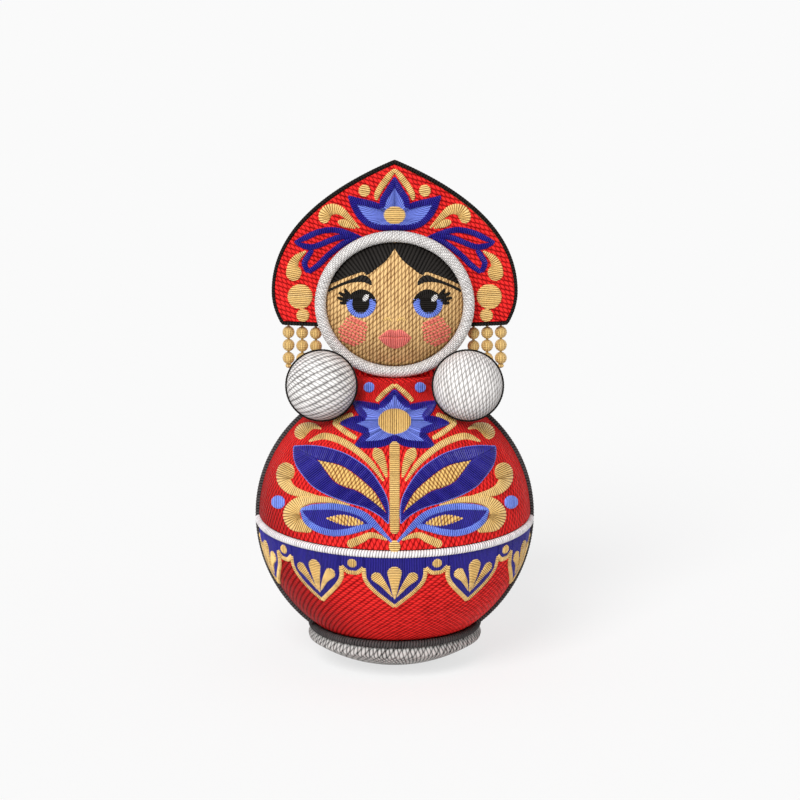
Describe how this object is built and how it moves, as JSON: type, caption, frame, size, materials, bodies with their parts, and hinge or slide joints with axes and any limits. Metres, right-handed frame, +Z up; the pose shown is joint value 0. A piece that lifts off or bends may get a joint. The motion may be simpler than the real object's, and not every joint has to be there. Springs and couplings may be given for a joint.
{
  "type": "roly-poly doll",
  "caption": "Weighted tumbler doll with a ball body on a rocker foot, an inner chime, turning ball hands, a ringed face and a pointed headdress hung with swinging bead strings.",
  "frame": {"origin": "middle of the flat under the rocker foot, on the surface that the doll stands on", "axes": "+Z up along the doll's axis, the face looks along -Y, +X to the right of someone facing the doll"},
  "size_m": [0.084, 0.084, 0.1559],
  "materials": {
    "red_cloth": "matte",
    "black_cord": "matte",
    "white_cord": "matte",
    "grey_foot": "matte",
    "face_cloth": "matte",
    "hand_cloth": "matte",
    "gold_thread": "satin",
    "shell_plastic": "satin",
    "stiff_board": "matte",
    "dowel_wood": "satin",
    "ballast_iron": "matte",
    "pin_steel": "satin",
    "chime_brass": "satin"
  },
  "bodies": {
    "doll": {"rocker_foot": "grey_foot", "foot_cord": "black_cord", "base_bowl": "shell_plastic", "upper_shell": "shell_plastic", "lower_front_panel": "red_cloth", "upper_front_panel": "red_cloth", "belt_cord_front": "white_cord", "lower_back_panel": "red_cloth", "upper_back_panel": "red_cloth", "belt_cord_back": "white_cord", "left_side_cord": "black_cord", "right_side_cord": "black_cord", "neck_dowel": "dowel_wood", "ballast_weight": "ballast_iron", "ballast_bolt": "pin_steel", "chime_plate": "shell_plastic", "tone_rod_1": "chime_brass", "tone_rod_2": "chime_brass", "tone_rod_3": "chime_brass", "tone_rod_4": "chime_brass", "chime_bridge": "shell_plastic", "clapper_pin": "pin_steel", "hood_shell": "red_cloth", "face_plate": "face_cloth", "face_ring": "white_cord", "headdress_front": "red_cloth", "headdress_board": "stiff_board", "headdress_lining": "red_cloth", "headdress_edging": "black_cord"},
    "clapper": {"clapper": "chime_brass"},
    "left_hand": {"left_hand": "hand_cloth", "left_hand_seam": "black_cord", "left_hand_peg": "shell_plastic"},
    "right_hand": {"right_hand": "hand_cloth", "right_hand_seam": "black_cord", "right_hand_peg": "shell_plastic"},
    "left_string_1": {"left_string_1_thread": "gold_thread", "left_string_1_bead_1": "gold_thread", "left_string_1_bead_2": "gold_thread", "left_string_1_bead_3": "gold_thread"},
    "left_string_2": {"left_string_2_thread": "gold_thread", "left_string_2_bead_1": "gold_thread", "left_string_2_bead_2": "gold_thread", "left_string_2_bead_3": "gold_thread"},
    "left_string_3": {"left_string_3_thread": "gold_thread", "left_string_3_bead_1": "gold_thread", "left_string_3_bead_2": "gold_thread", "left_string_3_bead_3": "gold_thread"},
    "right_string_1": {"right_string_1_thread": "gold_thread", "right_string_1_bead_1": "gold_thread", "right_string_1_bead_2": "gold_thread", "right_string_1_bead_3": "gold_thread"},
    "right_string_2": {"right_string_2_thread": "gold_thread", "right_string_2_bead_1": "gold_thread", "right_string_2_bead_2": "gold_thread", "right_string_2_bead_3": "gold_thread"},
    "right_string_3": {"right_string_3_thread": "gold_thread", "right_string_3_bead_1": "gold_thread", "right_string_3_bead_2": "gold_thread", "right_string_3_bead_3": "gold_thread"}
  },
  "joints": [
    {"name": "clapper_swing", "type": "hinge", "parent": "doll", "child": "clapper", "pos_m": [0, 0, 0.0532], "axis": [0, 1, 0], "range_deg": [-28, 28]},
    {"name": "left_hand_turn", "type": "hinge", "parent": "doll", "child": "left_hand", "pos_m": [-0.02176, -0.01599, 0.08935], "axis": [-0.4226, -0.3104, 0.8515], "continuous": true},
    {"name": "right_hand_turn", "type": "hinge", "parent": "doll", "child": "right_hand", "pos_m": [0.02176, -0.01599, 0.08935], "axis": [0.4226, -0.3104, 0.8515], "continuous": true},
    {"name": "left_string_1_swing", "type": "hinge", "parent": "doll", "child": "left_string_1", "pos_m": [-0.02355, -0.0019, 0.10396], "axis": [1, 0, 0], "range_deg": [-9, 40]},
    {"name": "left_string_2_swing", "type": "hinge", "parent": "doll", "child": "left_string_2", "pos_m": [-0.02765, -0.00129, 0.10396], "axis": [1, 0, 0], "range_deg": [-18, 40]},
    {"name": "left_string_3_swing", "type": "hinge", "parent": "doll", "child": "left_string_3", "pos_m": [-0.03175, -0.00057, 0.10396], "axis": [1, 0, 0], "range_deg": [-40, 40]},
    {"name": "right_string_1_swing", "type": "hinge", "parent": "doll", "child": "right_string_1", "pos_m": [0.02355, -0.0019, 0.10396], "axis": [1, 0, 0], "range_deg": [-9, 40]},
    {"name": "right_string_2_swing", "type": "hinge", "parent": "doll", "child": "right_string_2", "pos_m": [0.02765, -0.00129, 0.10396], "axis": [1, 0, 0], "range_deg": [-18, 40]},
    {"name": "right_string_3_swing", "type": "hinge", "parent": "doll", "child": "right_string_3", "pos_m": [0.03175, -0.00057, 0.10396], "axis": [1, 0, 0], "range_deg": [-40, 40]}
  ]
}
